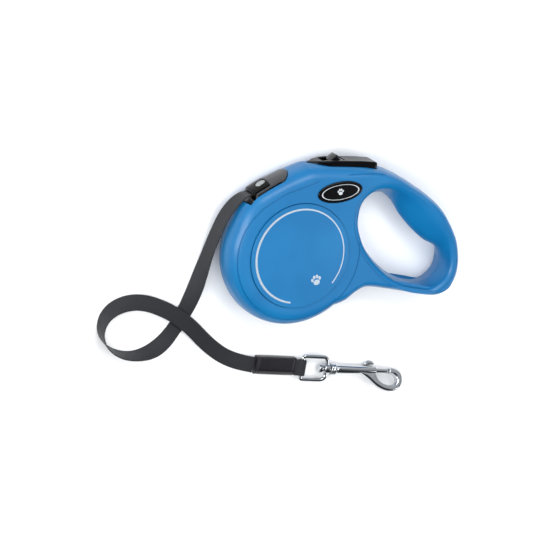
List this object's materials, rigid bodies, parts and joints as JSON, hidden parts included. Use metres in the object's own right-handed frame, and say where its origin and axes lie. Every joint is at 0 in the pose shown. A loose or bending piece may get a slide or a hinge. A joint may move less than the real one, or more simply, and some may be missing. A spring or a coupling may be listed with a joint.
{
  "type": "retractable leash",
  "caption": "Retractable tape leash: flat drum housing with a closed hand grip, thumb brake and lock on top, spring reel inside, and webbing tape ending in a swivel bolt snap.",
  "frame": {"origin": "centre of the housing footprint, on the plane its back label disc rests on", "axes": "+X from the tape outlet to the grip, +Y towards the brake button, +Z out of the front face"},
  "size_m": [0.2318, 0.1553, 0.0276],
  "materials": {
    "housing_plastic": "satin blue",
    "label_plastic": "satin blue, printed",
    "gloss_black_plastic": "gloss",
    "moulded_black_plastic": "semi-matt",
    "webbing": "woven",
    "nylon": "natural",
    "spring_steel": "oiled",
    "steel": "plain",
    "chrome": "polished",
    "pale_inset": "gloss"
  },
  "bodies": {
    "housing": {"front_shell": "housing_plastic", "back_shell": "housing_plastic", "front_label_disc": "label_plastic", "back_label_disc": "label_plastic", "front_badge": "gloss_black_plastic", "back_badge": "gloss_black_plastic", "outlet_guide": "gloss_black_plastic", "outlet_guide_pin": "steel", "spool_axle": "steel", "axle_screw": "steel", "brake_pivot_pin": "steel", "mainspring": "spring_steel", "housing_screw_1": "steel", "housing_screw_2": "steel", "housing_screw_3": "steel"},
    "reel": {"spool": "nylon", "spring_cover": "nylon", "tape_pack": "webbing"},
    "tape": {"tape_inside": "webbing", "tape_outside": "webbing", "stop_buckle": "gloss_black_plastic", "stop_inset": "pale_inset", "ferrule": "moulded_black_plastic", "strap_eye_loop": "webbing"},
    "brake": {"brake_button": "gloss_black_plastic", "brake_pawl": "moulded_black_plastic", "brake_spring": "spring_steel"},
    "lock": {"lock_slider": "gloss_black_plastic"},
    "eye": {"swivel_eye": "chrome"},
    "snap": {"snap_body": "chrome", "swivel_rivet": "chrome", "bolt_spring": "spring_steel"},
    "bolt": {"snap_bolt": "chrome", "bolt_knob": "chrome"}
  },
  "joints": [
    {"name": "tape_pull", "type": "slide", "parent": "housing", "child": "tape", "axis": [-1, 0, 0], "range_m": [0, 0.05622], "stiffness_N_per_m": 12, "springref_m": -0.08},
    {"name": "spool_turn", "type": "hinge", "parent": "housing", "child": "reel", "pos_m": [-0.03397, -0.00754, 0.0138], "axis": [0, 0, 1], "range_deg": [0, 90.5], "deforming": ["mainspring"]},
    {"name": "brake_press", "type": "hinge", "parent": "housing", "child": "brake", "pos_m": [0.01053, 0.04196, 0.0138], "axis": [0, 0, 1], "range_deg": [0, 5.5], "stiffness_Nm_per_rad": 0.15, "springref_deg": -5.73, "deforming": ["brake_spring"]},
    {"name": "lock_slide", "type": "slide", "parent": "brake", "child": "lock", "axis": [-1, 0, 0], "range_m": [0, 0.005]},
    {"name": "eye_hinge", "type": "hinge", "parent": "tape", "child": "eye", "pos_m": [-0.0103, -0.08602, 0.0043], "axis": [-0.045, -0.999, 0], "range_deg": [0, 110]},
    {"name": "snap_swivel", "type": "hinge", "parent": "eye", "child": "snap", "pos_m": [-0.0103, -0.08602, 0.0043], "axis": [0.999, -0.045, 0], "continuous": true},
    {"name": "bolt_slide", "type": "slide", "parent": "snap", "child": "bolt", "axis": [-0.999, 0.045, 0], "range_m": [0, 0.008], "stiffness_N_per_m": 350, "springref_m": -0.004, "deforming": ["bolt_spring"]}
  ],
  "couplings": [
    {"joint": "spool_turn", "follows": "tape_pull", "rad_per_m": 27.94}
  ]
}
